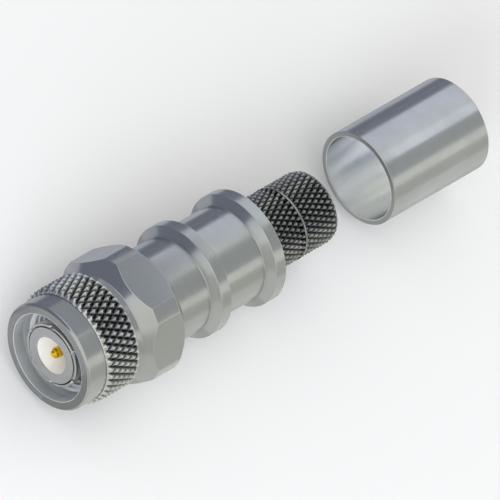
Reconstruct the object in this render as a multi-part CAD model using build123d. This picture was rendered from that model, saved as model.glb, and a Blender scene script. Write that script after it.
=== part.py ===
from build123d import *
import os
from math import cos, pi, radians, sin, tan

# A straight crimp plug with a threaded coupling nut, for 10.3 mm coaxial cable.
# The common axis is X: X = 0 is the nut's front face and X grows towards the cable.
# A flat of the hexagon faces straight down. Lengths are millimetres, angles degrees.

# Coupling nut, outside
nut_band_length = 3.0
nut_band_step = 0.59
nut_front_chamfer = 0.28
nut_front_rise = 0.22
nut_neck_length = 1.05
nut_neck_step = 0.52
hex_across_flats = 16.0
hex_corner_trim = 0.55
hex_ramp_angle = 42
hex_corner_length = 3.73
hex_rear_face_step = 0.12

# Coupling nut, inside
thread_major_r = 5.556
thread_minor_r = 5.11
thread_length = 4.9
mouth_clearance = 0.234
counterbore_depth = 1.61
lead_in_angle = 39
bearing_clearance = 0.194
running_clearance = 0.05

# Diamond knurls
knurl_helix_angle = 30
knurl_groove_angle = 96
nut_knurl_r = 7.645
nut_knurl_teeth = 45
nut_knurl_length = 5.0
nut_knurl_turn = 2.45
nut_knurl_ramp = 0.4
nut_knurl_ramp_rise = 0.06
stem_knurl_r = 4.845
stem_knurl_teeth = 36
stem_knurl_turn = 2.5

# Body, from the nut's rear face to the end of the crimp stem
nut_gap = 0.3
barrel_r = 6.275
barrel_front_length = 5.62
barrel_middle_length = 6.82
flange_r = 7.43
flange_cone_length = 0.82
flange_rim_length = 1.6
stem_front_length = 5.95
stem_land_length = 0.38
stem_land_rise = 0.01
stem_rear_length = 5.3
stem_end_step = 0.255
cable_bore_r = 3.7

# Front tube of the body, which carries the slotted contact and the insulator
tube_front = 0.62
tube_lip_length = 0.12
tube_wall = 0.71
shoulder_setback = 0.95
seat_clearance = 0.01

# Slotted outer contact
contact_setback = 0.08
contact_finger_room = 0.16
contact_wall = 0.2
contact_lip_rise = 0.1
contact_lip_length = 0.75
contact_lip_slope = 0.25
contact_seat_length = 1.9
slot_count = 6
slot_width = 0.4
slot_turn = 30
slot_web = 0.25

# Retaining ring and sealing ring
ring_from_rear = 4.3
ring_thickness = 0.8
ring_depth = 0.9
ring_reach = 0.3
ring_side_play = 0.1
ring_gap_width = 3.0
gasket_length = 1.2
gasket_clearance = 0.05
gasket_thread_clearance = 0.1

# Insulators and centre contact
cavity_r = 2.45
cavity_depth = 5.1
insulator_wall = 0.55
insulator_fit = 0.02
bead_gap = 7.8
bead_length = 2.6
cable_stop_gap = 0.2
pin_r = 0.68
pin_front = 0.84
pin_point_r = 0.3
pin_point_length = 0.22
pin_nose_r = 0.52
pin_nose_length = 0.33
pin_root_step = 0.18
pin_root_length = 3.76
cup_r = 1.65
cup_bore_r = 1.2
cup_bore_depth = 7.0

# Crimp ferrule, standing clear of the stem as it does before crimping
ferrule_r = 6.2
ferrule_bore_r = 5.5
ferrule_length = 16.2
ferrule_standoff = 8.2

# Radii that pieces share
hex_apothem = hex_across_flats / 2
hex_corner_r = hex_apothem / cos(radians(30)) - hex_corner_trim
hex_rear_r = hex_apothem - hex_rear_face_step
nut_band_r = nut_knurl_r - nut_band_step
nut_neck_r = nut_knurl_r - nut_neck_step
mouth_r = thread_major_r + mouth_clearance
bearing_r = thread_major_r + bearing_clearance
journal_r = bearing_r - running_clearance
ring_r = bearing_r + ring_reach
ring_bore_r = ring_r - ring_depth
insulator_r = cavity_r + insulator_wall
tube_bore_r = insulator_r + insulator_fit
tube_r = tube_bore_r + tube_wall
contact_bore_r = tube_r + contact_finger_room
contact_seat_r = contact_bore_r - seat_clearance
contact_r = contact_bore_r + contact_wall
contact_lip_r = contact_r + contact_lip_rise
pin_root_r = pin_r + pin_root_step
nut_ramp_r = nut_band_r + nut_knurl_ramp_rise
stem_land_r = stem_knurl_r + stem_land_rise
stem_end_r = stem_knurl_r - stem_end_step

# Stations along the nut
hex_slope = tan(radians(hex_ramp_angle))
knurl_start = nut_band_length
knurl_end = knurl_start + nut_knurl_length
hex_start = knurl_end + nut_neck_length
hex_corner_start = hex_start + (hex_corner_r - nut_neck_r) / hex_slope
hex_corner_end = hex_corner_start + hex_corner_length
nut_length = hex_corner_end + (hex_corner_r - hex_rear_r) / hex_slope
thread_start = counterbore_depth + (mouth_r - thread_minor_r) / tan(radians(lead_in_angle))
thread_end = thread_start + thread_length
ring_start = nut_length - ring_from_rear
ring_end = ring_start + ring_thickness

# Stations along the body
insulator_start = tube_front + tube_lip_length
shoulder = thread_end + shoulder_setback
contact_seat_start = shoulder - contact_seat_length
gasket_start = shoulder - gasket_length
barrel_start = nut_length + nut_gap
front_flange_start = barrel_start + barrel_front_length
front_flange_end = front_flange_start + flange_cone_length + flange_rim_length
rear_flange_start = front_flange_end + barrel_middle_length
stem_start = rear_flange_start + flange_cone_length + flange_rim_length
land_start = stem_start + stem_front_length
land_end = land_start + stem_land_length
stem_end = land_end + stem_rear_length

# Stations of the insulators and the centre contact
cavity_floor = insulator_start + cavity_depth
cup_start = cavity_floor + pin_root_length
bead_start = cup_start + bead_gap
bead_end = bead_start + bead_length
cable_stop = bead_end + cable_stop_gap
pin_nose_start = pin_front + pin_point_length
pin_shoulder = pin_nose_start + pin_nose_length
ferrule_start = stem_end + ferrule_standoff


# A solid of revolution about X from its outline of (x, radius) corners
def turned(*outline):
    corners = [(x, 0, r) for x, r in outline]
    return revolve(make_face(Polyline(*corners, close=True)), Axis.X)


# Half the height of one diamond of a knurl, along the axis
def half_diamond(crest_r, teeth):
    return pi * crest_r / teeth / tan(radians(knurl_helix_angle))


# Depth of the grooves that leave a knurl's diamonds standing, from their pitch and angle
def groove_depth(crest_r, teeth):
    half_pitch = pi * crest_r / teeth * cos(radians(knurl_helix_angle))
    return half_pitch / tan(radians(knurl_groove_angle / 2))


# A rod covered in pyramids. Crests and groove crossings alternate like a chessboard:
# each pyramid is one crest joined to the four crossings round it. A front ramp is one more
# row, whose corners all lie at the ramp's radius, and the crests of the last row may be lower.
def knurled_rod(crest_r, teeth, turn, start, end, end_crest_r, ramp=None):
    root_r = crest_r - groove_depth(crest_r, teeth)
    rows = round((end - start) / half_diamond(crest_r, teeth))
    step = (end - start) / rows
    columns = 2 * teeth
    first = 0 if ramp is None else -1

    def is_crest(row, column):
        return (row + column) % 2 == 0

    def corner(row, column):
        angle = radians(turn + column * 360 / columns)
        x = start + row * step
        r = root_r
        if is_crest(row, column):
            r = end_crest_r if row == rows else crest_r
        if row < 0:
            x, r = start - ramp[0], ramp[1]
        return Vector(x, -r * sin(angle), r * cos(angle))

    def flat(*corners):
        return Face(Wire.make_polygon(corners, close=True))

    faces = [flat(*[corner(row, column) for column in range(columns)]) for row in (first, rows)]
    for row in range(first, rows):
        for column in range(columns):
            here = corner(row, column)
            beside = corner(row, column + 1)
            ahead = corner(row + 1, column)
            across = corner(row + 1, column + 1)
            if is_crest(row, column):
                faces += [flat(here, beside, ahead), flat(across, ahead, beside)]
            else:
                faces += [flat(here, beside, across), flat(here, across, ahead)]
    return Solid(Shell(faces))


# The nut's knurled band, whose grooves run out forwards over a ramp
def nut_knurl():
    return knurled_rod(
        nut_knurl_r,
        nut_knurl_teeth,
        nut_knurl_turn,
        knurl_start + nut_knurl_ramp,
        knurl_end,
        end_crest_r=nut_knurl_r,
        ramp=(nut_knurl_ramp, nut_ramp_r),
    )


# Hexagon with coned ends, whose corners are turned down to a cylinder
def nut_hexagon():
    prism = extrude(Plane.YZ * RegularPolygon(hex_apothem, 6, major_radius=False), nut_length)
    coned = turned(
        (knurl_end, 0),
        (knurl_end, nut_neck_r),
        (hex_start, nut_neck_r),
        (hex_corner_start, hex_corner_r),
        (hex_corner_end, hex_corner_r),
        (nut_length, hex_rear_r),
        (nut_length, 0),
    )
    return coned & prism


def coupling_nut():
    front_band = turned(
        (0, 0),
        (0, nut_band_r - nut_front_rise),
        (nut_front_chamfer, nut_band_r),
        (knurl_start, nut_band_r),
        (knurl_start, 0),
    )
    bore = turned(
        (0, 0),
        (0, mouth_r),
        (counterbore_depth, mouth_r),
        (thread_start, thread_minor_r),
        (thread_end, thread_minor_r),
        (thread_end, ring_r + ring_side_play),
        (ring_end + ring_side_play, ring_r + ring_side_play),
        (ring_end + ring_side_play, bearing_r),
        (nut_length, bearing_r),
        (nut_length, 0),
    )
    return front_band + nut_knurl() + nut_hexagon() - bore


# Split spring ring, held in a groove of the body. It stops the nut, which turns behind it,
# from coming off forwards.
def retaining_ring():
    ring = turned(
        (ring_start, ring_bore_r),
        (ring_start, ring_r),
        (ring_end, ring_r),
        (ring_end, ring_bore_r),
    )
    gap = Box(2 * ring_thickness, ring_gap_width, ring_r, align=(Align.CENTER, Align.CENTER, Align.MIN))
    return ring - Pos(ring_start + ring_thickness / 2, 0, 0) * gap


def weather_gasket():
    bore_r = contact_r + gasket_clearance
    outer_r = thread_minor_r - gasket_thread_clearance
    return turned((gasket_start, bore_r), (gasket_start, outer_r), (shoulder, outer_r), (shoulder, bore_r))


# The two knurled bands of the crimp stem, parted by a narrow plain land
def crimp_stem():
    front = knurled_rod(
        stem_knurl_r, stem_knurl_teeth, stem_knurl_turn, stem_start, land_start, end_crest_r=stem_knurl_r
    )
    rear = knurled_rod(
        stem_knurl_r, stem_knurl_teeth, stem_knurl_turn, land_end, stem_end, end_crest_r=stem_end_r
    )
    land = turned((land_start, 0), (land_start, stem_land_r), (land_end, stem_land_r), (land_end, 0))
    return front + land + rear


# Outline of one flange: a cone rising from the barrel, then a rim
def flange_outline(start):
    rim_start = start + flange_cone_length
    rim_end = rim_start + flange_rim_length
    return [(start, barrel_r), (rim_start, flange_r), (rim_end, flange_r)]


# Front tube, journal, barrel, flanges and crimp stem, turned in one piece
def connector_body():
    outside = turned(
        (tube_front, 0),
        (tube_front, tube_r),
        (contact_seat_start, tube_r),
        (contact_seat_start, contact_seat_r),
        (shoulder, contact_seat_r),
        (shoulder, journal_r),
        (ring_start, journal_r),
        (ring_start, ring_bore_r - seat_clearance),
        (ring_end, ring_bore_r - seat_clearance),
        (ring_end, journal_r),
        (barrel_start, journal_r),
        (barrel_start, barrel_r),
        *flange_outline(front_flange_start),
        (front_flange_end, barrel_r),
        *flange_outline(rear_flange_start),
        (stem_start, 0),
    )
    bore = turned(
        (tube_front, 0),
        (tube_front, cavity_r),
        (insulator_start, cavity_r),
        (insulator_start, tube_bore_r),
        (cable_stop, tube_bore_r),
        (cable_stop, cable_bore_r),
        (stem_end, cable_bore_r),
        (stem_end, 0),
    )
    return outside + crimp_stem() - bore


# Spring sleeve round the front tube: its fingers end in a raised lip
def outer_contact():
    front = tube_front + contact_setback
    lip_end = front + contact_lip_length
    finger_start = lip_end + contact_lip_slope
    sleeve = turned(
        (front, contact_bore_r),
        (front, contact_lip_r),
        (lip_end, contact_lip_r),
        (finger_start, contact_r),
        (shoulder, contact_r),
        (shoulder, contact_bore_r),
    )
    slot_length = contact_seat_start - slot_web - front
    slot = Box(2 * slot_length, slot_width, 2 * contact_r, align=(Align.CENTER, Align.CENTER, Align.MIN))
    slots = [Rot(X=slot_turn + k * 360 / slot_count) * Pos(front, 0, 0) * slot for k in range(slot_count)]
    return sleeve - slots


# Front insulator: a cup round the pin, with a thick web that rests on the shoulder of the pin's cup
def insulator():
    pin_bore_r = pin_root_r + insulator_fit
    return turned(
        (insulator_start, cavity_r),
        (insulator_start, insulator_r),
        (cup_start, insulator_r),
        (cup_start, pin_bore_r),
        (cavity_floor, pin_bore_r),
        (cavity_floor, cavity_r),
    )


def rear_bead():
    bore_r = cup_r + insulator_fit
    return turned(
        (bead_start, bore_r),
        (bead_start, insulator_r),
        (bead_end, insulator_r),
        (bead_end, bore_r),
    )


# Pin with a stepped nose, and a cup at its rear that takes the cable's inner conductor
def centre_contact():
    return turned(
        (pin_front, 0),
        (pin_front, pin_point_r),
        (pin_nose_start, pin_nose_r),
        (pin_shoulder, pin_nose_r),
        (pin_shoulder, pin_r),
        (cavity_floor, pin_r),
        (cavity_floor, pin_root_r),
        (cup_start, pin_root_r),
        (cup_start, cup_r),
        (bead_end, cup_r),
        (bead_end, cup_bore_r),
        (bead_end - cup_bore_depth, cup_bore_r),
        (bead_end - cup_bore_depth, 0),
    )


def crimp_ferrule():
    end = ferrule_start + ferrule_length
    return turned(
        (ferrule_start, ferrule_bore_r),
        (ferrule_start, ferrule_r),
        (end, ferrule_r),
        (end, ferrule_bore_r),
    )


nodes = {
    "coupling_nut": coupling_nut(),
    "retaining_ring": retaining_ring(),
    "weather_gasket": weather_gasket(),
    "connector_body": connector_body(),
    "outer_contact": outer_contact(),
    "insulator": insulator(),
    "rear_bead": rear_bead(),
    "centre_contact": centre_contact(),
    "crimp_ferrule": crimp_ferrule(),
}

os.makedirs("parts", exist_ok=True)
for name, solid in nodes.items():
    export_step(solid, f"parts/{name}.step")
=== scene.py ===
from math import acos, asin, atan2, cos, degrees, radians, sin, sqrt

import bmesh
import bpy
import numpy as np
from mathutils import Matrix, Vector


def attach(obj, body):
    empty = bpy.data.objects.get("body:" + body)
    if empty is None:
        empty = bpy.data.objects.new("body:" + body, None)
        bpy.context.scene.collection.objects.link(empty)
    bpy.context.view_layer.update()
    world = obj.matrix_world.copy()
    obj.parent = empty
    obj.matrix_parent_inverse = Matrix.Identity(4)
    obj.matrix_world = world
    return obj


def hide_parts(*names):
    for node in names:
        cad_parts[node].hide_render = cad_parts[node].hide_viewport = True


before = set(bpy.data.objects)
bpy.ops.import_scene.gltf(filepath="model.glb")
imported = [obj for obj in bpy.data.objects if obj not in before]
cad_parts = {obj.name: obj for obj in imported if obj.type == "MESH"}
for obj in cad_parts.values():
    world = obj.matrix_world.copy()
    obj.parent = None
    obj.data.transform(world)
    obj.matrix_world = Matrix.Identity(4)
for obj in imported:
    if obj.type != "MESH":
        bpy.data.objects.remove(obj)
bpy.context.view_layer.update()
print("frame loaded")

mm = 0.001  # the dictionaries are in millimetres and degrees, the meshes in metres
scene = bpy.context.scene


# Turned shapes. A path is a list of corners along the connector's axis: x, radius, how far the
# corner is rounded, and for a knurl how deep the point lies in a groove, from 0 to 1, which also sets how much
# shade is painted there.
# x, radius and groove are one number, or one number for each column of points.
# Columns stand at angles round the axis, 0 at the top and growing towards -Y.

def corner(x, radius, rounding=0.0, groove=0.0, knurled=False):
    return {"x": x, "radius": radius, "rounding": rounding, "groove": groove, "knurled": knurled}


def evenColumns(count):
    return np.arange(count) * 360.0 / count


def ringOf(item, columns):
    x = np.broadcast_to(np.asarray(item["x"], float), (columns,))
    radius = np.broadcast_to(np.asarray(item["radius"], float), (columns,))
    groove = np.broadcast_to(np.asarray(item["groove"], float), (columns,))
    return np.stack([x, radius, groove], axis=1)


roundingSteps = 3
guard = 0.6  # how far beyond a rounded corner its extra ring stands, as a share of the rounding
largestShare = 0.3  # the most of a side that one rounding takes up


# Each rounded corner becomes a short curve, with one more ring on both sides that keeps the flats flat
def roundedRings(path, columns, closed):
    points = [ringOf(item, columns) for item in path]
    rings, knurled = [], []
    for i, item in enumerate(path):
        here = points[i]
        if item["rounding"] <= 0 or (not closed and i in (0, len(path) - 1)):
            rings.append(here)
            knurled.append(item["knurled"])
            continue
        before = points[i - 1] - here
        after = points[(i + 1) % len(points)] - here
        lengthBefore = np.linalg.norm(before[:, :2], axis=1, keepdims=True)
        lengthAfter = np.linalg.norm(after[:, :2], axis=1, keepdims=True)
        reach = np.minimum(item["rounding"], largestShare * np.minimum(lengthBefore, lengthAfter))
        start = here + before / lengthBefore * reach
        end = here + after / lengthAfter * reach
        rings.append(start + (start - here) * guard)
        for t in np.linspace(0, 1, roundingSteps + 1):
            rings.append((1 - t) ** 2 * start + 2 * t * (1 - t) * here + t ** 2 * end)
        rings.append(end + (end - here) * guard)
        knurled += [False] * (roundingSteps + 3)
    return rings, knurled


# Skin over the rings. The strips of a knurl are split along their grooves.
def turnedSkin(path, angles, closed=True, fullTurn=True):
    columns = len(angles)
    rings, knurled = roundedRings(path, columns, closed)
    grid = np.array(rings)
    x, radius = grid[:, :, 0], grid[:, :, 1]
    around = np.radians(angles)
    points = np.stack([x, -radius * np.sin(around), radius * np.cos(around)], axis=2)
    count = len(rings)
    faces = []
    for k in range(count if closed else count - 1):
        ahead = (k + 1) % count
        for c in range(columns if fullTurn else columns - 1):
            d = (c + 1) % columns
            one, two, three, four = k * columns + c, k * columns + d, ahead * columns + d, ahead * columns + c
            if not (knurled[k] and knurled[ahead]):
                faces.append((one, two, three, four))
            elif radius[k, c] + radius[ahead, d] < radius[k, d] + radius[ahead, c]:
                faces += [(one, two, three), (one, three, four)]
            else:
                faces += [(one, two, four), (two, three, four)]
    if not fullTurn:
        faces.append(tuple(k * columns for k in range(count)))
        faces.append(tuple(k * columns + columns - 1 for k in reversed(range(count))))
    return points.reshape(-1, 3), faces, grid[:, :, 2].reshape(-1)


# How sharply each point stands out from its neighbours, kept for the rubbed edges of the plating and the highlight
# painted along them
def measureSharpness(mesh):
    count = len(mesh.vertices)
    places, normals = np.empty(count * 3), np.empty(count * 3)
    mesh.vertices.foreach_get("co", places)
    mesh.vertex_normals.foreach_get("vector", normals)
    places, normals = places.reshape(-1, 3), normals.reshape(-1, 3)
    ends = np.empty(len(mesh.edges) * 2, int)
    mesh.edges.foreach_get("vertices", ends)
    one, two = ends.reshape(-1, 2).T
    way = places[two] - places[one]
    way /= np.maximum(np.linalg.norm(way, axis=1, keepdims=True), 1e-12)
    total = np.bincount(one, -(way * normals[one]).sum(1), count)
    total += np.bincount(two, (way * normals[two]).sum(1), count)
    degree = np.bincount(one, minlength=count) + np.bincount(two, minlength=count)
    sharpness = mesh.attributes.new("sharpness", "FLOAT", "POINT")
    sharpness.data.foreach_set("value", total / np.maximum(degree, 1))


# One object out of one or more skins, smooth but for its real edges
def madePiece(name, skins, body, node, smoothing=32):
    vertices, faces, grooves = [], [], []
    for points, skinFaces, skinGrooves in skins:
        start = len(vertices)
        vertices += (points * mm).tolist()
        faces += [tuple(start + v for v in face) for face in skinFaces]
        grooves += skinGrooves.tolist()
    mesh = bpy.data.meshes.new(name)
    mesh.from_pydata(vertices, [], faces)
    mesh.attributes.new("groove", "FLOAT", "POINT").data.foreach_set("value", grooves)
    shape = bmesh.new()
    shape.from_mesh(mesh)
    bmesh.ops.remove_doubles(shape, verts=shape.verts, dist=2e-8)
    bmesh.ops.recalc_face_normals(shape, faces=shape.faces)
    shape.to_mesh(mesh)
    shape.free()
    mesh.polygons.foreach_set("use_smooth", [True] * len(mesh.polygons))
    mesh.set_sharp_from_angle(angle=radians(smoothing))
    measureSharpness(mesh)
    piece = bpy.data.objects.new(name, mesh)
    scene.collection.objects.link(piece)
    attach(piece, body)
    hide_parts(node)
    print(name, len(mesh.polygons), "faces")
    return piece


# Diamond knurls. Crests and groove crossings alternate like a chessboard whose squares are half
# a tooth wide and half a diamond long, and the worn crests have small flat tops.
breaks = (0.0, 0.1, 0.5, 0.9)  # places in each square where the surface may bend


def knurlColumns(teeth, turn):
    half = 180.0 / teeth
    return np.array([turn + (k + b) * half for k in range(2 * teeth) for b in breaks])


def knurlRadius(knurl, x, angles):
    q = (angles - knurl["turn"]) / (180.0 / knurl["teeth"])
    p = (x - knurl["firstRow"]) / knurl["rowStep"]
    height = np.minimum(np.abs((p + q) % 2 - 1), np.abs((p - q) % 2 - 1))
    height = np.minimum(height, knurl["flatTop"]) / knurl["flatTop"]
    return knurl["root"] + (knurl["crest"] - knurl["root"]) * height


# One row of a knurl under the envelope that the blank was turned to
def knurlRow(knurl, x, angles, envelope):
    radius = np.minimum(knurlRadius(knurl, x, angles), envelope)
    depth = np.clip((envelope - radius) / (knurl["crest"] - knurl["root"]), 0, 1)
    return corner(x, radius, groove=depth, knurled=True)


# Places along the axis of all rows of points in a knurl, with one row more in each square
def knurlStations(knurl, start, end):
    rows = range(-2, 40)  # more than any band has
    stations = [knurl["firstRow"] + (k + b) * knurl["rowStep"] for k in rows for b in (*breaks, 0.3)]
    clear = 0.02  # nearer to an end than this a row would only make slivers
    return sorted([x for x in stations if start + clear < x < end - clear] + [start, end])


# Coupling nut
nut = {
    "bandRadius": 7.055, "frontChamfer": 0.28, "frontRise": 0.22,
    "neckRadius": 7.125, "hexStart": 9.05, "length": 15.412,
    "halfAcrossFlats": 8.0, "cornerRadius": 8.6876, "frontSlope": 0.9004, "rearRadius": 7.88,
    "mouthRadius": 5.79, "mouthDepth": 1.61,
    "threadMajor": 5.556, "threadMinor": 5.11, "threadPitch": 0.907, "threadStart": 2.45, "threadEnd": 7.35,
    "threadRows": 82, "leadLength": 0.45, "leadSlope": 1.2,
    "undercutRadius": 6.15, "undercutEnd": 12.012, "bearingRadius": 5.75, "bearingBevel": 0.15,
    "edge": 0.05, "neckFillet": 0.06, "bearingEdge": 0.04, "mouthFillet": 0.03,
    "creaseReach": 0.44, "creaseDepth": 0.012, "flatHalfAngle": 22.8, "flatTolerance": 0.004,
    "bandColumns": 288, "hexColumns": 360,
}
nutKnurl = {
    "crest": 7.645, "root": 7.229, "teeth": 45, "turn": 2.45, "firstRow": 3.4, "rowStep": 0.92, "flatTop": 0.9,
    "start": 3.0, "end": 8.0, "rampRadius": 7.115, "rampLength": 0.4, "rampFillet": 0.02, "rearChamfer": 0.1,
    "runIn": 0.3, "runOut": 0.5,  # plain turned lengths before and behind it, up to the next skin
    # the step down behind it: how far past its end, how high over the neck, and how much shade is painted there
    "stepDown": ((0.01, 0.06, 0.8), (0.02, 0.01, 0.6), (0.06, 0.0, 0.0)),
}


# Front face and smooth band
def nutBand():
    band = nut["bandRadius"]
    path = [
        corner(0, (nut["mouthRadius"] + band) / 2),
        corner(0, band - nut["frontRise"], nut["edge"]),
        corner(nut["frontChamfer"], band, nut["edge"]),
        corner(nutKnurl["start"] - nutKnurl["runIn"], band),
    ]
    return turnedSkin(path, evenColumns(nut["bandColumns"]), closed=False)


# Knurl with its ramp, and the step down to the neck
def nutGrip():
    angles = knurlColumns(nutKnurl["teeth"], nutKnurl["turn"])
    start, end = nutKnurl["start"], nutKnurl["end"]
    path = [
        corner(start - nutKnurl["runIn"], nut["bandRadius"]),
        corner(start, nut["bandRadius"], nutKnurl["rampFillet"]),
    ]
    slope = (nutKnurl["crest"] - nutKnurl["rampRadius"]) / nutKnurl["rampLength"]
    stations = knurlStations(nutKnurl, start, end - nutKnurl["rearChamfer"]) + [end]
    for x in stations:
        envelope = min(nutKnurl["crest"], nutKnurl["rampRadius"] + (x - start) * slope)
        envelope = min(envelope, nutKnurl["crest"] - (x - end + nutKnurl["rearChamfer"]))
        path.append(knurlRow(nutKnurl, x, angles, envelope))
    neck = nut["neckRadius"]
    path += [corner(end + past, neck + high, groove=cornerShade) for past, high, cornerShade in nutKnurl["stepDown"]]
    path.append(corner(end + nutKnurl["runOut"], neck))
    return turnedSkin(path, angles, closed=False)


# Radius of the hexagon at each column, with its corners turned down to a cylinder
def hexRadius(angles):
    offFlat = (angles + 30) % 60 - 30
    return np.minimum(nut["halfAcrossFlats"] / np.cos(np.radians(offFlat)), nut["cornerRadius"])


# Right-handed coupling thread, cut row by row so that each row stays square to the axis
def threadRings(angles):
    rows = []
    pitch, major, minor = nut["threadPitch"], nut["threadMajor"], nut["threadMinor"]
    start, end = nut["threadStart"], nut["threadEnd"]
    for x in np.linspace(end, start, nut["threadRows"]):
        turn = (x / pitch - angles / 360.0) % 1.0
        rise = np.clip(1.5 * np.abs(2 * turn - 1) - 0.25, 0, 1)  # flat at its top and bottom, sloped between
        radius = minor + (major - minor) * rise
        lead = minor + max(0, start + nut["leadLength"] - x) * nut["leadSlope"]  # the first turn runs out here
        rows.append(corner(x, np.maximum(radius, lead)))
    return rows


# Neck, hexagon and rear face outside, then the bore with its thread from the rear to the mouth
def nutRear():
    offFlat = degrees(acos(nut["halfAcrossFlats"] / nut["cornerRadius"]))
    creases = [60 * k + side * offFlat for k in range(6) for side in (-1, 1)]
    reach = nut["creaseReach"]
    angles = [*evenColumns(nut["hexColumns"])]
    angles += [crease + step for crease in creases for step in (-reach - 0.01, reach + 0.01)]
    angles = np.array(sorted(angle % 360 for angle in angles))
    soft = hexRadius(angles)  # the creases between the flats and the turned corners are very slightly rounded
    for crease in creases:
        off = np.abs((angles - crease + 180) % 360 - 180)
        soft = np.where(off < reach, soft - nut["creaseDepth"] * (1 - off / reach), soft)
    neck, slope, edge = nut["neckRadius"], nut["frontSlope"], nut["edge"]
    front = nut["hexStart"] + (soft - neck) / slope
    rear = nut["length"] - (soft - nut["rearRadius"]) / slope
    path = [
        corner(nutKnurl["end"] + nutKnurl["runOut"], neck),
        corner(nut["hexStart"], neck, nut["neckFillet"]),
        corner(front, soft, edge),
        corner(rear, soft, edge),
        corner(nut["length"], nut["rearRadius"], edge),
        corner(nut["length"], nut["bearingRadius"] + nut["bearingBevel"], nut["bearingEdge"]),
        corner(nut["length"] - nut["bearingBevel"], nut["bearingRadius"], nut["bearingEdge"]),
        corner(nut["undercutEnd"], nut["bearingRadius"]),
        corner(nut["undercutEnd"], nut["undercutRadius"]),
        corner(nut["threadEnd"], nut["undercutRadius"]),
        *threadRings(angles),
        corner(nut["threadStart"] - 0.01, nut["threadMajor"]),
        corner(nut["mouthDepth"], nut["mouthRadius"], nut["mouthFillet"]),
        corner(0, nut["mouthRadius"], edge),
        corner(0, (nut["mouthRadius"] + nut["bandRadius"]) / 2),
    ]
    return turnedSkin(path, angles, closed=False)


couplingNut = madePiece("couplingNut", [nutBand(), nutGrip(), nutRear()], "nut", "coupling_nut", smoothing=28)


# Connector body
body = {
    "tubeFront": 0.62, "tubeRadius": 3.73, "lipRadius": 2.45, "lipEnd": 0.74, "tubeBore": 3.02,
    "seatStart": 6.40, "seatRadius": 3.88, "shoulder": 8.30, "journalRadius": 5.70,
    "grooveStart": 11.112, "grooveEnd": 11.912, "grooveRadius": 5.14,
    "barrelStart": 15.712, "barrelRadius": 6.275, "flangeRadius": 7.43,
    "frontFlange": (21.332, 22.152, 23.752), "rearFlange": (30.572, 31.392, 32.992),
    "boreStep": 20.2, "cableBore": 3.7, "boreBevel": 0.12, "columns": 240,
    "edge": 0.06, "rootFillet": 0.08, "tubeEdge": 0.05, "boreEdge": 0.04, "fineEdge": 0.03,
}
stem = {
    "front": {"crest": 4.845, "root": 4.51, "teeth": 36, "turn": 2.5, "firstRow": 32.992, "rowStep": 0.74375,
              "flatTop": 0.9, "start": 33.01, "end": 38.942},
    "rear": {"crest": 4.845, "root": 4.51, "teeth": 36, "turn": 2.5, "firstRow": 39.322, "rowStep": 0.75714,
             "flatTop": 0.9, "start": 39.322, "end": 44.622},
    # the land's two ends are darkened through their groove values: painted shade
    "landRadius": 4.855, "landBevel": (0.13, 0.03), "landShade": (0.3, 0.9),  # the land's two ends
    "endRadius": 4.59, "endChamfer": 0.3, "faceRadius": 4.2, "joinRise": 0.1,
}


def flangeCorners(start, rim, end):
    barrel, flange, edge = body["barrelRadius"], body["flangeRadius"], body["edge"]
    return [
        corner(start, barrel, body["rootFillet"]),
        corner(rim, flange, edge),
        corner(end, flange, edge),
        corner(end, barrel, body["rootFillet"]),
    ]


def stemBand(band, angles, chamferFrom=None):
    rows = []
    fall = (stem["landRadius"] - stem["endRadius"]) / stem["endChamfer"]
    for x in knurlStations(band, band["start"], band["end"]):
        envelope = band["crest"]
        if chamferFrom is not None:
            envelope = min(envelope, stem["landRadius"] - max(0, x - chamferFrom) * fall)
        rows.append(knurlRow(band, x, angles, envelope))
    return rows


# Everything but the knurls, from the end face of the stem through the bore and back along the outside
def bodySkin():
    edge, fineEdge = body["edge"], body["fineEdge"]
    end, bevel = stem["rear"]["end"], body["boreBevel"]
    path = [
        corner(end, stem["faceRadius"]),
        corner(end, body["cableBore"] + bevel, body["boreEdge"]),
        corner(end - bevel, body["cableBore"], body["boreEdge"]),
        corner(body["boreStep"], body["cableBore"]),
        corner(body["boreStep"], body["tubeBore"]),
        corner(body["lipEnd"], body["tubeBore"]),
        corner(body["lipEnd"], body["lipRadius"]),
        corner(body["tubeFront"], body["lipRadius"], fineEdge),
        corner(body["tubeFront"], body["tubeRadius"], body["tubeEdge"]),
        corner(body["seatStart"], body["tubeRadius"]),
        corner(body["seatStart"], body["seatRadius"]),
        corner(body["shoulder"], body["seatRadius"]),
        corner(body["shoulder"], body["journalRadius"], edge),
        corner(body["grooveStart"], body["journalRadius"], fineEdge),
        corner(body["grooveStart"], body["grooveRadius"]),
        corner(body["grooveEnd"], body["grooveRadius"]),
        corner(body["grooveEnd"], body["journalRadius"], fineEdge),
        corner(body["barrelStart"], body["journalRadius"]),
        corner(body["barrelStart"], body["barrelRadius"], edge),
        *flangeCorners(*body["frontFlange"]),
        *flangeCorners(*body["rearFlange"])[:-1],
        corner(body["rearFlange"][2], stem["landRadius"] + stem["joinRise"]),
    ]
    return turnedSkin(path, evenColumns(body["columns"]), closed=False)


def stemSkin():
    angles = knurlColumns(stem["front"]["teeth"], stem["front"]["turn"])
    front, rear, land = stem["front"], stem["rear"], stem["landRadius"]
    length, fall = stem["landBevel"]
    some, most = stem["landShade"]
    path = [
        corner(body["rearFlange"][2], stem["landRadius"] + stem["joinRise"]),
        corner(body["rearFlange"][2], front["root"]),
        *stemBand(front, angles),
        # painted shade along both ends of the land
        corner(front["end"], land - fall, groove=most),
        corner(front["end"] + length, land, groove=some),
        corner(rear["start"] - length, land, groove=some),
        corner(rear["start"], land - fall, groove=most),
        *stemBand(rear, angles, rear["end"] - stem["endChamfer"]),
        corner(rear["end"], stem["faceRadius"]),
    ]
    return turnedSkin(path, angles, closed=False)


connectorBody = madePiece("connectorBody", [bodySkin(), stemSkin()], "plug", "connector_body", smoothing=28)


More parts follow.
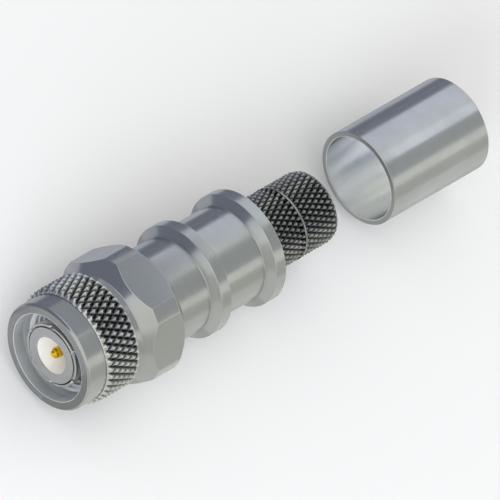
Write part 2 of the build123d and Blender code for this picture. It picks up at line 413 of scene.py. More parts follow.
# Slotted spring contact: a ring at the rear that carries six fingers with a raised lip
contact = {
    "front": 0.70, "lipRadius": 4.19, "lipLength": 0.75, "lipSlope": 0.25, "radius": 4.09, "bore": 3.89,
    "slotEnd": 6.15, "rear": 8.30, "slots": 6, "slotTurn": 30, "slotWidth": 0.4,
    "edge": 0.05, "lipEdge": 0.08, "baseEdge": 0.03, "fingerColumns": 31, "baseColumns": 192,
    "deburr": 0.22, "deburrAngle": 3.4,  # how far the slots' front corners are cut back, and over which angle
}


def contactSkins():
    lipEdge = contact["lipEdge"]
    lipEnd = contact["front"] + contact["lipLength"]
    finger = [
        corner(contact["front"], contact["bore"], contact["edge"]),
        corner(contact["front"], contact["lipRadius"], lipEdge),
        corner(lipEnd, contact["lipRadius"], lipEdge),
        corner(lipEnd + contact["lipSlope"], contact["radius"], lipEdge),
        corner(contact["slotEnd"], contact["radius"]),
        corner(contact["slotEnd"], contact["bore"]),
    ]
    base = [
        corner(contact["slotEnd"], contact["bore"]),
        corner(contact["slotEnd"], contact["radius"], contact["baseEdge"]),
        corner(contact["rear"], contact["radius"]),
        corner(contact["rear"], contact["bore"]),
    ]
    skins = [turnedSkin(base, evenColumns(contact["baseColumns"]))]
    halfSlot = degrees(asin(contact["slotWidth"] / 2 / contact["radius"]))
    share = 360 / contact["slots"]
    cut = contact["deburrAngle"]
    for k in range(contact["slots"]):
        start = contact["slotTurn"] + k * share + halfSlot
        end = start + share - 2 * halfSlot
        middle = np.linspace(start + cut, end - cut, contact["fingerColumns"])
        angles = np.array([start, start + cut / 2, *middle, end - cut / 2, end])
        setBack = np.clip(1 - np.minimum(angles - start, end - angles) / cut, 0, 1)
        finger[0]["x"] = finger[1]["x"] = contact["front"] + contact["deburr"] * setBack
        skins.append(turnedSkin(finger, angles, fullTurn=False))
    return skins


springContact = madePiece("springContact", contactSkins(), "plug", "outer_contact", smoothing=40)


# White cup round the pin, and the white bead round its rear
cup = {
    "front": 0.74, "radius": 3.0, "cavityRadius": 2.45, "cavityFloor": 5.84, "pinBore": 0.88, "rear": 9.60,
    "edge": 0.08, "pinEdge": 0.04, "floorFillet": 0.15, "columns": 144,
}
bead = {"front": 17.4, "rear": 20.0, "bore": 1.67, "radius": 3.0, "edge": 0.08, "columns": 120}


def cupSkin():
    edge = cup["edge"]
    path = [
        corner(cup["front"], cup["cavityRadius"], edge),
        corner(cup["front"], cup["radius"], edge),
        corner(cup["rear"], cup["radius"], edge),
        corner(cup["rear"], cup["pinBore"]),
        corner(cup["cavityFloor"], cup["pinBore"], cup["pinEdge"]),
        corner(cup["cavityFloor"], cup["cavityRadius"], cup["floorFillet"]),
    ]
    return turnedSkin(path, evenColumns(cup["columns"]))


# The section of any plain ring or tube
def ringPath(ring):
    front, rear, edge = ring["front"], ring["rear"], ring["edge"]
    return [
        corner(front, ring["bore"], edge),
        corner(front, ring["radius"], edge),
        corner(rear, ring["radius"], edge),
        corner(rear, ring["bore"], edge),
    ]


def ringSkin(ring):
    return turnedSkin(ringPath(ring), evenColumns(ring["columns"]))


frontInsulator = madePiece("frontInsulator", [cupSkin()], "plug", "insulator")
rearBead = madePiece("rearBead", [ringSkin(bead)], "plug", "rear_bead")


# Gold centre contact
pin = {
    "front": 0.84, "pointRadius": 0.30, "noseStart": 1.06, "noseRadius": 0.52, "shoulder": 1.39, "radius": 0.68,
    "rootStart": 5.84, "rootRadius": 0.86, "cupStart": 9.60, "cupRadius": 1.65, "rear": 20.0,
    "cupBore": 1.2, "cupFloor": 13.0, "drillPoint": 0.3, "columns": 96,
    "edge": 0.05, "softEdge": 0.06, "rootEdge": 0.04, "fineEdge": 0.03,
}


def pinSkin():
    edge, softEdge = pin["edge"], pin["softEdge"]
    path = [
        corner(pin["front"], 0),
        corner(pin["front"], pin["pointRadius"], softEdge),
        corner(pin["noseStart"], pin["noseRadius"], softEdge),
        corner(pin["shoulder"], pin["noseRadius"], pin["fineEdge"]),
        corner(pin["shoulder"], pin["radius"], edge),
        corner(pin["rootStart"], pin["radius"]),
        corner(pin["rootStart"], pin["rootRadius"], pin["rootEdge"]),
        corner(pin["cupStart"], pin["rootRadius"]),
        corner(pin["cupStart"], pin["cupRadius"], softEdge),
        corner(pin["rear"], pin["cupRadius"], edge),
        corner(pin["rear"], pin["cupBore"], edge),
        corner(pin["cupFloor"], pin["cupBore"], edge),
        corner(pin["cupFloor"] - pin["drillPoint"], 0),
    ]
    return turnedSkin(path, evenColumns(pin["columns"]), closed=False)


centrePin = madePiece("centrePin", [pinSkin()], "plug", "centre_contact")


# Sealing ring behind the thread, and the split spring ring that holds the nut
seal = {"front": 7.10, "rear": 8.30, "bore": 4.14, "radius": 5.01, "edge": 0.25, "columns": 144}
springRing = {
    "front": 11.112, "rear": 11.912, "bore": 5.15, "radius": 6.05, "gapWidth": 3.0, "edge": 0.08, "columns": 130,
}


def springRingSkin():
    halfGap = degrees(asin(springRing["gapWidth"] / 2 / springRing["radius"]))
    angles = np.linspace(halfGap, 360 - halfGap, springRing["columns"])
    return turnedSkin(ringPath(springRing), angles, fullTurn=False)


sealingRing = madePiece("sealingRing", [ringSkin(seal)], "plug", "weather_gasket")
retainer = madePiece("retainer", [springRingSkin()], "plug", "retaining_ring")


# Crimp ferrule
ferrule = {"front": 52.822, "rear": 69.022, "bore": 5.5, "radius": 6.2, "edge": 0.07, "columns": 256}

crimpFerrule = madePiece("crimpFerrule", [ringSkin(ferrule)], "ferrule", "crimp_ferrule")
print("pieces made")


# Materials. Everything is worked out from object coordinates: how far along the axis a point is,
# and how far out from it, so that turning marks run round the axis as a lathe leaves them.

def freshMaterial(name):
    material = bpy.data.materials.new(name)
    material.use_nodes = True
    tree = material.node_tree
    return material, tree, tree.nodes["Principled BSDF"]


def put(tree, kind, inputs=None, **settings):
    node = tree.nodes.new(kind)
    for key, value in settings.items():
        setattr(node, key, value)
    for socket, value in (inputs or {}).items():
        if isinstance(value, bpy.types.NodeSocket):
            tree.links.new(value, node.inputs[socket])
        else:
            node.inputs[socket].default_value = value
    return node


def mathOf(tree, operation, one, two=0.0):
    return put(tree, "ShaderNodeMath", {0: one, 1: two}, operation=operation).outputs[0]


def spread(tree, value, low, high, toLow, toHigh, smooth=False):
    kind = "SMOOTHSTEP" if smooth else "LINEAR"
    inputs = {"Value": value, "From Min": low, "From Max": high, "To Min": toLow, "To Max": toHigh}
    return put(tree, "ShaderNodeMapRange", inputs, interpolation_type=kind).outputs[0]


def mixColours(tree, factor, one, two, blend="MIX"):
    node = put(tree, "ShaderNodeMix", data_type="RGBA", blend_type=blend)
    for socket, value in ((0, factor), (6, one), (7, two)):
        if isinstance(value, bpy.types.NodeSocket):
            tree.links.new(value, node.inputs[socket])
        else:
            node.inputs[socket].default_value = value
    return node.outputs[2]


# The point itself, how far it is along the axis and how far out from it, all in metres
def axisCoordinates(tree):
    place = put(tree, "ShaderNodeTexCoord").outputs["Object"]
    split = put(tree, "ShaderNodeSeparateXYZ", {0: place})
    flat = put(tree, "ShaderNodeCombineXYZ", {1: split.outputs[1], 2: split.outputs[2]})
    radius = put(tree, "ShaderNodeVectorMath", {0: flat.outputs[0]}, operation="LENGTH").outputs["Value"]
    return place, split.outputs[0], radius


# Noise that only changes along the axis or outwards, as fine rings
def turningMarks(tree, x, radius, perMm):
    along = mathOf(tree, "MULTIPLY", x, perMm * 1000)
    outward = mathOf(tree, "MULTIPLY", radius, perMm * 1000)
    where = put(tree, "ShaderNodeCombineXYZ", {0: along, 1: outward}).outputs[0]
    inputs = {"Vector": where, "Scale": 1.0, "Detail": 2.0, "Roughness": 0.6}
    return put(tree, "ShaderNodeTexNoise", inputs, noise_dimensions="2D").outputs["Fac"]


# Fine lines that run along the axis, as a bar or tube has from the die it was drawn through
def drawnMarks(tree, place, perMm):
    stretch = (12, perMm * 1000, perMm * 1000)  # only 12 to the metre along the axis
    drawn = put(tree, "ShaderNodeVectorMath", {0: place, 1: stretch}, operation="MULTIPLY")
    inputs = {"Vector": drawn.outputs[0], "Scale": 1.0, "Detail": 2.0, "Roughness": 0.6}
    return put(tree, "ShaderNodeTexNoise", inputs).outputs["Fac"]


def cloud(tree, place, perMm, detail=3.0):
    inputs = {"Vector": place, "Scale": perMm * 1000, "Detail": detail, "Roughness": 0.55}
    return put(tree, "ShaderNodeTexNoise", inputs).outputs["Fac"]


def attributeOf(tree, name):
    return put(tree, "ShaderNodeAttribute", attribute_name=name).outputs["Fac"]


# How open each point is to its surroundings, from 0 in a corner to 1 on a free surface
def openness(tree, reach):
    return put(tree, "ShaderNodeAmbientOcclusion", {"Distance": reach * mm}, samples=6).outputs["AO"]


# The colour times a grey, over part of the surface
def dulled(tree, where, colour, grey):
    return mixColours(tree, where, colour, (grey, grey, grey, 1), "MULTIPLY")


# Most of a noise's values lie between these two
noiseSpan = (0.3, 0.7)


def roughFrom(tree, shader, noise, least, most):
    tree.links.new(spread(tree, noise, *noiseSpan, least, most), shader.inputs["Roughness"])


def bumpFrom(tree, shader, height):
    bump = put(tree, "ShaderNodeBump", {"Height": height, "Distance": 1.0, "Strength": 1.0})
    tree.links.new(bump.outputs[0], shader.inputs["Normal"])


# Nickel plate over turned brass. The grooves of a knurl and the corners between parts take painted shade, and
# sharp edges are lighter from rubbing and a painted highlight.
nickelPlate = {
    "colour": (0.475, 0.48, 0.49, 1), "dull": (0.415, 0.42, 0.42, 1), "wearAndHighlight": (0.66, 0.655, 0.64, 1),
    # the next two colours are painted shade: in corners, and in the grooves of a knurl
    "cornerShade": (0.05, 0.05, 0.055, 1), "grooveShade": (0.02, 0.02, 0.023, 1), "groove": (0.26, 0.90),
    "roughness": 0.19, "marks": 0.0004, "fineMarks": 0.00022, "grain": 0.00015, "drawn": False,
    "marksPerMm": (5.0, 21.0), "hazePerMm": 0.16, "grainPerMm": 9.0, "hazeRough": (-0.04, 0.05),
    "marksRough": (-0.03, 0.03), "hazeRange": (0.35, 0.7), "mostHaze": 0.55,
    "wearAndHighlightRange": (0.03, 0.16), "mostWearAndHighlight": 0.6,  # how sharp an edge is where the rubbing and painted highlight begin and where they are full
    # how much shade is painted into corners, over which openness, how far the openness looks, and from where along
    # the axis
    "cornerShadeMix": 0.5, "cornerShadeRange": (0.35, 0.95), "cornerShadeReach": 0.7, "cornerShadeStart": -1.0, "squareRange": (0.85, 0.97),
    "insideRadius": 0.0, "insideStart": -1.0, "insideColour": (0.8, 0.8, 0.8, 1), "insideRoughness": 0.2,
    "insideMetal": 1.0, "faced": 1.0, "tone": 1.0, "toneFrom": (-1.0, 0.0), "toneEnd": 100.0,
}
# the bores of the nut, the body's tube and the ferrule are painted lighter inside than out: painted light
nutPlate = dict(
    nickelPlate, insideRadius=5.85, insideColour=(0.86, 0.89, 0.92, 1), insideRoughness=0.45, insideMetal=0.82,
    faced=0.62, wearAndHighlight=(0.86, 0.86, 0.84, 1), tone=0.93, toneFrom=(3.0, 7.2), toneEnd=nutKnurl["end"],
)
barStock = dict(
    nickelPlate, roughness=0.24, drawn=True, marks=0.0003, marksPerMm=(2.0, 6.0), fineMarks=0.0, grain=0.00004,
    wearAndHighlight=(0.86, 0.86, 0.84, 1),
)
bodyPlate = dict(
    nickelPlate, insideRadius=3.8, insideStart=0.8, insideColour=(0.92, 0.92, 0.92, 1), insideRoughness=0.4,
    insideMetal=0.5, cornerShadeStart=8.3, faced=0.92, tone=0.68, toneFrom=(33.0, 4.4), groove=(0.26, 0.85),
)
drawnTube = dict(
    nickelPlate, colour=(0.51, 0.52, 0.54, 1), insideRadius=5.6, insideColour=(0.85, 0.86, 0.87, 1),
    insideRoughness=0.2, insideMetal=0.93, faced=0.85,
)
springPlate = dict(nickelPlate, colour=(0.52, 0.52, 0.50, 1), roughness=0.16)
# painted highlight: a nearly white, rough plate for the slots' walls and deburred corners
slotHighlightPlate = dict(nickelPlate, colour=(0.92, 0.91, 0.88, 1), dull=(0.88, 0.87, 0.84, 1), roughness=0.5, cornerShadeMix=0.0)


def nickelColour(tree, settings, x, radius, inner, haze):
    hazy = spread(tree, haze, *settings["hazeRange"], 0.0, settings["mostHaze"])
    colour = mixColours(tree, hazy, settings["colour"], settings["dull"])
    # sharp edges are lighter: partly rubbed plating, partly a painted highlight
    wearAndHighlight = spread(tree, attributeOf(tree, "sharpness"), *settings["wearAndHighlightRange"], 0.0, settings["mostWearAndHighlight"])
    colour = mixColours(tree, wearAndHighlight, colour, settings["wearAndHighlight"])
    # painted shade: corners and crevices are darkened from the ambient occlusion, only behind a set place along
    # the axis
    cornerShadeMix = spread(tree, openness(tree, settings["cornerShadeReach"]), *settings["cornerShadeRange"], settings["cornerShadeMix"], 0.0)
    cornerShadeMix = mathOf(tree, "MULTIPLY", cornerShadeMix, mathOf(tree, "GREATER_THAN", x, settings["cornerShadeStart"] * mm))
    colour = mixColours(tree, cornerShadeMix, colour, settings["cornerShade"])
    if settings["faced"] < 1:  # faces square to the axis are painted darker than the turned sides: painted shade
        normal = put(tree, "ShaderNodeTexCoord").outputs["Normal"]
        along = mathOf(tree, "ABSOLUTE", put(tree, "ShaderNodeSeparateXYZ", {0: normal}).outputs[0])
        square = spread(tree, along, *settings["squareRange"], 0.0, 1.0)
        colour = dulled(tree, square, colour, settings["faced"])
    # painted light: the bores are painted lighter inside than out
    if settings["insideRadius"]:
        colour = mixColours(tree, inner, colour, settings["insideColour"])
    if settings["tone"] < 1:  # the knurled band is painted a little darker all over: painted shade
        fromX, fromRadius = settings["toneFrom"]
        knurlShadeMask = mathOf(tree, "MULTIPLY", mathOf(tree, "GREATER_THAN", x, fromX * mm),
                        mathOf(tree, "GREATER_THAN", radius, fromRadius * mm))
        knurlShadeMask = mathOf(tree, "MULTIPLY", knurlShadeMask, mathOf(tree, "LESS_THAN", x, settings["toneEnd"] * mm))
        colour = dulled(tree, knurlShadeMask, colour, settings["tone"])
    # painted shade: near-black mixed in by how deep a point lies in a groove
    grooveShadeMix = spread(tree, attributeOf(tree, "groove"), *settings["groove"], 0.0, 0.9, smooth=True)
    return mixColours(tree, grooveShadeMix, colour, settings["grooveShade"])


def nickelRoughness(tree, settings, inner, haze, coarse):
    rough = mathOf(tree, "ADD", spread(tree, haze, *noiseSpan, *settings["hazeRough"]),
                   spread(tree, coarse, *noiseSpan, *settings["marksRough"]))
    rough = mathOf(tree, "ADD", rough, settings["roughness"])
    if settings["insideRadius"]:
        lift = mathOf(tree, "MULTIPLY", inner, settings["insideRoughness"] - settings["roughness"])
        rough = mathOf(tree, "ADD", rough, lift)
    return rough


def nickelMaterial(name, settings):
    material, tree, shader = freshMaterial(name)
    place, x, radius = axisCoordinates(tree)
    if settings["drawn"]:
        coarse, fine = [drawnMarks(tree, place, perMm) for perMm in settings["marksPerMm"]]
    else:
        coarse, fine = [turningMarks(tree, x, radius, perMm) for perMm in settings["marksPerMm"]]
    haze = cloud(tree, place, settings["hazePerMm"])
    grain = cloud(tree, place, settings["grainPerMm"])
    inner = mathOf(tree, "MULTIPLY", mathOf(tree, "LESS_THAN", radius, settings["insideRadius"] * mm),
                   mathOf(tree, "GREATER_THAN", x, settings["insideStart"] * mm))
    tree.links.new(nickelColour(tree, settings, x, radius, inner, haze), shader.inputs["Base Color"])
    tree.links.new(nickelRoughness(tree, settings, inner, haze, coarse), shader.inputs["Roughness"])
    # painted light: inside the bores the metal is also made less metallic, so that it shows more of the lamps'
    # light
    if settings["insideMetal"] < 1:
        tree.links.new(spread(tree, inner, 0.0, 1.0, 1.0, settings["insideMetal"]), shader.inputs["Metallic"])
    else:
        shader.inputs["Metallic"].default_value = 1.0
    height = mathOf(tree, "ADD", mathOf(tree, "MULTIPLY", coarse, settings["marks"] * mm),
                    mathOf(tree, "MULTIPLY", fine, settings["fineMarks"] * mm))
    bumpFrom(tree, shader, mathOf(tree, "ADD", height, mathOf(tree, "MULTIPLY", grain, settings["grain"] * mm)))
    return material


# White cup and bead: waxy, a little see-through, with faint rings from the lathe
ptfe = {
    "colour": (0.97, 0.965, 0.93, 1), "shade": (0.958, 0.957, 0.95, 1), "shadePerMm": 0.5,
    "roughness": (0.33, 0.44), "marks": 0.0015, "marksPerMm": 9.0,
    "seeThrough": 0.35, "glow": (1.0, 0.9, 0.75), "glowDepth": 0.8,
}


def ptfeMaterial():
    material, tree, shader = freshMaterial("waxyWhite")
    place, x, radius = axisCoordinates(tree)
    rings = turningMarks(tree, x, radius, ptfe["marksPerMm"])
    shaded = spread(tree, cloud(tree, place, ptfe["shadePerMm"]), 0.35, 0.65, 0.0, 1.0)
    tree.links.new(mixColours(tree, shaded, ptfe["colour"], ptfe["shade"]), shader.inputs["Base Color"])
    roughFrom(tree, shader, rings, *ptfe["roughness"])
    shader.inputs["Subsurface Weight"].default_value = ptfe["seeThrough"]
    shader.inputs["Subsurface Radius"].default_value = ptfe["glow"]
    shader.inputs["Subsurface Scale"].default_value = ptfe["glowDepth"] * mm
    bumpFrom(tree, shader, mathOf(tree, "MULTIPLY", rings, ptfe["marks"] * mm))
    return material


gold = {
    "colour": (0.90, 0.58, 0.02, 1), "deep": (0.80, 0.49, 0.012, 1), "deepPerMm": 1.2,
    "bright": (1.0, 0.78, 0.16, 1), "brightRange": (0.03, 0.2), "mostBright": 0.7,
    # painted shade in the corners: its colour, how far it looks, over which openness and how much
    "corner": (0.16, 0.08, 0.005, 1), "cornerReach": 0.35, "cornerRange": (0.45, 0.95), "mostCorner": 0.85,
    "roughness": (0.13, 0.21), "marks": 0.0003, "marksPerMm": 24.0,
}


# Gold plate: lighter along its edges, from rubbing and a painted highlight, and darker in its corners, from
# painted shade
def goldMaterial():
    material, tree, shader = freshMaterial("pinGold")
    place, x, radius = axisCoordinates(tree)
    rings = turningMarks(tree, x, radius, gold["marksPerMm"])
    deeper = spread(tree, cloud(tree, place, gold["deepPerMm"]), 0.35, 0.65, 0.0, 1.0)
    colour = mixColours(tree, deeper, gold["colour"], gold["deep"])
    # edges lighter: partly rubbed plating, partly a painted highlight
    edges = spread(tree, attributeOf(tree, "sharpness"), *gold["brightRange"], 0.0, gold["mostBright"])
    colour = mixColours(tree, edges, colour, gold["bright"])
    # painted shade: corners darkened towards a deep brown by the ambient occlusion
    corners = spread(tree, openness(tree, gold["cornerReach"]), *gold["cornerRange"], gold["mostCorner"], 0.0)
    tree.links.new(mixColours(tree, corners, colour, gold["corner"]), shader.inputs["Base Color"])
    shader.inputs["Metallic"].default_value = 1.0
    roughFrom(tree, shader, rings, *gold["roughness"])
    bumpFrom(tree, shader, mathOf(tree, "MULTIPLY", rings, gold["marks"] * mm))
    return material


bronze = {
    "colour": (0.50, 0.33, 0.19, 1), "tarnish": (0.30, 0.19, 0.12, 1), "tarnishPerMm": 0.8,
    "roughness": (0.28, 0.44),
}


def bronzeMaterial():
    material, tree, shader = freshMaterial("springBronze")
    haze = cloud(tree, axisCoordinates(tree)[0], bronze["tarnishPerMm"])
    tarnished = spread(tree, haze, 0.4, 0.65, 0.0, 1.0)
    tree.links.new(mixColours(tree, tarnished, bronze["colour"], bronze["tarnish"]), shader.inputs["Base Color"])
    shader.inputs["Metallic"].default_value = 1.0
    roughFrom(tree, shader, haze, *bronze["roughness"])
    return material


rubber = {
    "colour": (0.42, 0.045, 0.02, 1), "dusty": (0.50, 0.12, 0.08, 1), "dustPerMm": 1.5, "mostDust": 0.6,
    "roughness": (0.42, 0.60), "pores": 0.002, "poresPerMm": 14.0,
}


def rubberMaterial():
    material, tree, shader = freshMaterial("sealRubber")
    place = axisCoordinates(tree)[0]
    dust = spread(tree, cloud(tree, place, rubber["dustPerMm"]), 0.45, 0.7, 0.0, rubber["mostDust"])
    tree.links.new(mixColours(tree, dust, rubber["colour"], rubber["dusty"]), shader.inputs["Base Color"])
    pores = cloud(tree, place, rubber["poresPerMm"], detail=2.0)
    roughFrom(tree, shader, pores, *rubber["roughness"])
    bumpFrom(tree, shader, mathOf(tree, "MULTIPLY", pores, rubber["pores"] * mm))
    return material


def finishPiece(piece, material):
    piece.data.materials.append(material)


# The six flats keep the skin of the drawn hexagon bar, a little rougher than what the lathe has cut
def barFlats(piece, material):
    piece.data.materials.append(material)
    for face in piece.data.polygons:
        out = Vector((0, face.center.y, face.center.z))
        turn = (degrees(atan2(-out.y, out.z)) + 30) % 60 - 30
        offFlat = abs(out.length * cos(radians(turn)) - nut["halfAcrossFlats"] * mm)
        alongAxis = abs(face.normal.x) < 0.01 and face.area > 0
        if alongAxis and offFlat < nut["flatTolerance"] * mm and abs(turn) < nut["flatHalfAngle"]:
            face.material_index = 1


# The walls of the slots and their deburred corners are painted nearly white: painted highlight. The walls are the
# only faces with more than four corners, and the deburred ones look forwards beside a slot.
def highlightSlots(piece, material):
    piece.data.materials.append(material)
    share = 360 / contact["slots"]
    reach = degrees(asin(contact["slotWidth"] / 2 / contact["radius"])) + contact["deburrAngle"]
    for face in piece.data.polygons:
        turn = degrees(atan2(-face.center.y, face.center.z)) - contact["slotTurn"]
        besideSlot = abs((turn + share / 2) % share - share / 2) < reach
        if len(face.vertices) > 4 or (besideSlot and face.normal.x < -0.3):
            face.material_index = 1


nutNickel = nickelMaterial("nutNickel", nutPlate)
bodyNickel = nickelMaterial("bodyNickel", bodyPlate)
contactNickel = nickelMaterial("contactNickel", springPlate)
tubeNickel = nickelMaterial("tubeNickel", drawnTube)
slotHighlight = nickelMaterial("slotHighlight", slotHighlightPlate)
waxyWhite = ptfeMaterial()
finishPiece(couplingNut, nutNickel)
barFlats(couplingNut, nickelMaterial("barFlats", barStock))
finishPiece(connectorBody, bodyNickel)
finishPiece(springContact, contactNickel)
highlightSlots(springContact, slotHighlight)
finishPiece(crimpFerrule, tubeNickel)
finishPiece(frontInsulator, waxyWhite)
finishPiece(rearBead, waxyWhite)
finishPiece(centrePin, goldMaterial())
finishPiece(retainer, bronzeMaterial())
finishPiece(sealingRing, rubberMaterial())
print("materials made")


# Floor: pale, level with the flat of the hexagon that the plug lies on
table = {
    "height": -8.0, "size": 6000, "colour": (0.85, 0.855, 0.85, 1), "shade": (0.835, 0.84, 0.835, 1),
    "roughness": 0.9, "specular": 0.1,
}


def layFloor():
    half = table["size"] / 2 * mm
    z = table["height"] * mm
    mesh = bpy.data.meshes.new("paleFloor")
    mesh.from_pydata([(-half, -half, z), (half, -half, z), (half, half, z), (-half, half, z)], [], [(0, 1, 2, 3)])
    floor = bpy.data.objects.new("paleFloor", mesh)
    scene.collection.objects.link(floor)
    material, tree, shader = freshMaterial("paleFloor")
    mottle = cloud(tree, put(tree, "ShaderNodeTexCoord").outputs["Object"], 0.01)
    tree.links.new(mixColours(tree, mottle, table["shade"], table["colour"]), shader.inputs["Base Color"])
    shader.inputs["Roughness"].default_value = table["roughness"]
    shader.inputs["Specular IOR Level"].default_value = table["specular"]
    mesh.materials.append(material)


# World: white to the camera, tinted from side to side in reflections, and weaker in the light that it sheds
studio = {
    "worldLight": 0.675, "between": (-0.5, 0.7),
    "coolSide": (0.86, 0.92, 1.0, 1), "warmSide": (0.98, 1.0, 0.90, 1),
}


def lightWorld():
    world = bpy.data.worlds.new("studioWorld")
    world.use_nodes = True
    scene.world = world
    tree = world.node_tree
    tree.nodes.clear()
    rays = put(tree, "ShaderNodeLightPath")
    seen = mathOf(tree, "MAXIMUM", rays.outputs["Is Camera Ray"], rays.outputs["Is Glossy Ray"])
    seen = mathOf(tree, "MAXIMUM", seen, rays.outputs["Is Transmission Ray"])
    soft = put(tree, "ShaderNodeBackground", {"Color": (1, 1, 1, 1), "Strength": studio["worldLight"]})
    side = put(tree, "ShaderNodeSeparateXYZ", {0: put(tree, "ShaderNodeTexCoord").outputs["Generated"]}).outputs[1]
    cool = spread(tree, side, *studio["between"], 0.0, 1.0, smooth=True)
    tint = mixColours(tree, cool, studio["warmSide"], studio["coolSide"])
    tint = mixColours(tree, rays.outputs["Is Camera Ray"], tint, (1, 1, 1, 1))
    white = put(tree, "ShaderNodeBackground", {"Color": tint, "Strength": 1.0})
    both = put(tree, "ShaderNodeMixShader", {0: seen, 1: soft.outputs[0], 2: white.outputs[0]})
    put(tree, "ShaderNodeOutputWorld", {0: both.outputs[0]})


# Soft lamps that light the floor and the pale pieces; metal only sees the world and the cards
lamps = {
    "key": {"from": (-500, -500, 900), "size": 900, "watts": 2.85, "colour": (1.0, 1.0, 1.0)},
    "fill": {"from": (600, -200, 900), "size": 1300, "watts": 2.3, "colour": (1.0, 0.985, 0.96)},
    # this one looks into the plug's mouth
    "front": {"from": (-850, -450, 380), "size": 500, "watts": 6.9, "colour": (0.90, 0.92, 1.0)},
}
lampAim = (30, 0, 0)


def hangLamps():
    for name, lamp in lamps.items():
        light = bpy.data.lights.new(name, "AREA")
        light.shape = "SQUARE"
        light.size = lamp["size"] * mm
        light.energy = lamp["watts"]
        light.color = lamp["colour"]
        holder = bpy.data.objects.new(name, light)
        place = Vector(lamp["from"]) * mm
        holder.location = place
        holder.rotation_euler = (Vector(lampAim) * mm - place).to_track_quat("-Z", "Y").to_euler()
        holder.visible_glossy = False
        scene.collection.objects.link(holder)


# Cards that only reflections see, as a studio hangs them round a shiny object. Each stands upright
# or leans back, square to its direction. wide is how far it reaches to its two sides, and tall how
# high it stands at those two ends, both from its foot. Greys are linear, and tinted.
cardsAway = 600
cards = {
    "darkSide": {
        "towards": (-0.5, 0.866, 0.0), "wide": (560, 1800), "foot": -8, "tall": (805, 434),
        "grey": (0.245, 0.268, 0.325),
    },
    "rearGrey": {
        "towards": (0.577, -0.468, 0.669), "wide": (500, 500), "foot": -165, "tall": (165, 165),
        "grey": (0.50, 0.525, 0.51),
    },
    "sideGrey": {
        "towards": (0.577, -0.8165, 0.0), "wide": (600, 700), "foot": -8, "tall": (110, 110),
        "grey": (0.64, 0.65, 0.58),
    },
    "frontGrey": {
        "towards": (-0.788, -0.616, 0.0), "wide": (280, 280), "foot": -8, "tall": (150, 150),
        "grey": (0.64, 0.66, 0.62),
    },
}
matGap = 0.3  # height over the floor
mats = {  # the same, laid just over the floor
    "darkMat": {"x": (-700, 900), "y": (28, 600), "grey": (0.245, 0.268, 0.325)},
    "nearDarkMat": {"x": (-100, 200), "y": (13.5, 28), "grey": (0.56, 0.59, 0.635)},
    "besideMat": {"x": (-100, 200), "y": (9, 13.5), "grey": (0.40, 0.425, 0.47)},
    "sideMat": {"x": (-500, 900), "y": (-500, -38), "grey": (0.64, 0.65, 0.58)},
    "nearSideMat": {"x": (-100, 200), "y": (-38, -9.5), "grey": (0.80, 0.82, 0.76)},
    "underMat": {"x": (-100, 200), "y": (-9.5, -2), "grey": (0.62, 0.64, 0.60)},
}
strips = {  # narrow cards close over the plug: how far they reach along it, and the (y, z) of their two edges
    "overNut": {"x": (20.0, 43.2), "edges": ((58, 18), (-8, 57)), "grey": (0.42, 0.455, 0.49)},
    "overHexagon": {"x": (43.2, 50.0), "edges": ((56, 21), (-10, 57)), "grey": (0.66, 0.69, 0.71)},
    "besideNut": {"x": (-46.0, -27.0), "edges": ((34, 38), (8, 53)), "grey": (0.245, 0.268, 0.325)},
    "overFerrule": {"x": (85.0, 112.0), "edges": ((6, 55.5), (-15.5, 53)), "grey": (1.06, 1.11, 1.16)},
}


def reflectedCard(name, corners, grey):
    mesh = bpy.data.meshes.new(name)
    mesh.from_pydata([tuple(p * mm) for p in corners], [], [(0, 1, 2, 3)])
    plane = bpy.data.objects.new(name, mesh)
    scene.collection.objects.link(plane)
    material = bpy.data.materials.new(name)
    material.use_nodes = True
    tree = material.node_tree
    tree.nodes.clear()
    glow = put(tree, "ShaderNodeEmission", {"Color": (*grey, 1), "Strength": 1.0})
    put(tree, "ShaderNodeOutputMaterial", {0: glow.outputs[0]})
    mesh.materials.append(material)
    plane.visible_camera = False
    plane.visible_diffuse = False
    plane.visible_shadow = False
    plane.visible_transmission = False


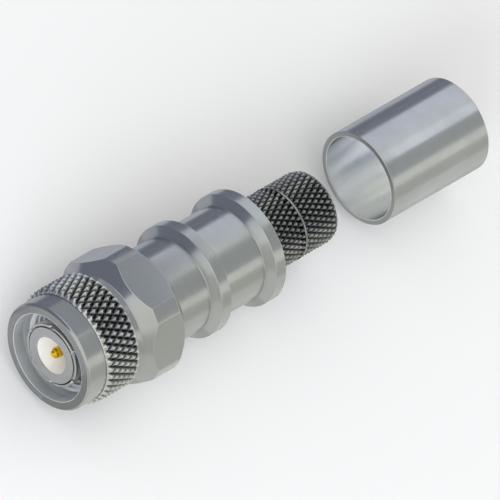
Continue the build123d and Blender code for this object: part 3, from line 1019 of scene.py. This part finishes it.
def hangCards():
    for name, card in cards.items():
        facing = Vector(card["towards"]).normalized()
        sideways = Vector((0, 0, 1)).cross(facing).normalized()
        upwards = facing.cross(sideways)
        left = facing * cardsAway + sideways * card["wide"][0]
        right = facing * cardsAway - sideways * card["wide"][1]
        foot, tall = upwards * card["foot"], [upwards * high for high in card["tall"]]
        reflectedCard(name, [left + foot, right + foot, right + tall[1], left + tall[0]], card["grey"])
    for name, mat in mats.items():
        z = table["height"] + matGap
        (west, east), (south, north) = mat["x"], mat["y"]
        corners = [Vector((x, y, z)) for x, y in ((west, south), (east, south), (east, north), (west, north))]
        reflectedCard(name, corners, mat["grey"])
    for name, strip in strips.items():
        west, east = strip["x"]
        near, far = strip["edges"]
        corners = [Vector((x, *edge)) for x, edge in ((west, near), (east, near), (east, far), (west, far))]
        reflectedCard(name, corners, strip["grey"])


# Camera: far away with a long lens, so that the picture is the even view of the photograph
shot = {
    "back": (-1 / sqrt(3), -sqrt(2 / 3) * sin(radians(15)), sqrt(2 / 3) * cos(radians(15))),
    "climb": 30, "aimRight": 24.22, "aimUp": 12.90, "across": 60.24, "depth": 20, "lens": 1500, "sensor": 36,
    "near": 0.5, "far": 10,  # these two in metres
}


def placeCamera():
    data = bpy.data.cameras.new("shotCamera")
    data.lens = shot["lens"]
    data.sensor_width = shot["sensor"]
    data.clip_start, data.clip_end = shot["near"], shot["far"]
    camera = bpy.data.objects.new("shotCamera", data)
    scene.collection.objects.link(camera)
    back = Vector(shot["back"])
    axis = Vector((1, 0, 0))
    flat = (axis - back * axis.dot(back)).normalized()
    square = back.cross(flat)
    climb = radians(shot["climb"])
    right = flat * cos(climb) - square * sin(climb)
    up = flat * sin(climb) + square * cos(climb)
    away = shot["across"] * shot["lens"] / shot["sensor"] - shot["depth"]  # true to scale half-way along
    place = right * shot["aimRight"] + up * shot["aimUp"] + back * away
    turn = Matrix((right, up, back)).transposed()
    camera.matrix_world = Matrix.Translation(place * mm) @ turn.to_4x4()
    scene.camera = camera


layFloor()
lightWorld()
hangLamps()
hangCards()
placeCamera()
scene.view_settings.view_transform = "Standard"
print("studio ready")
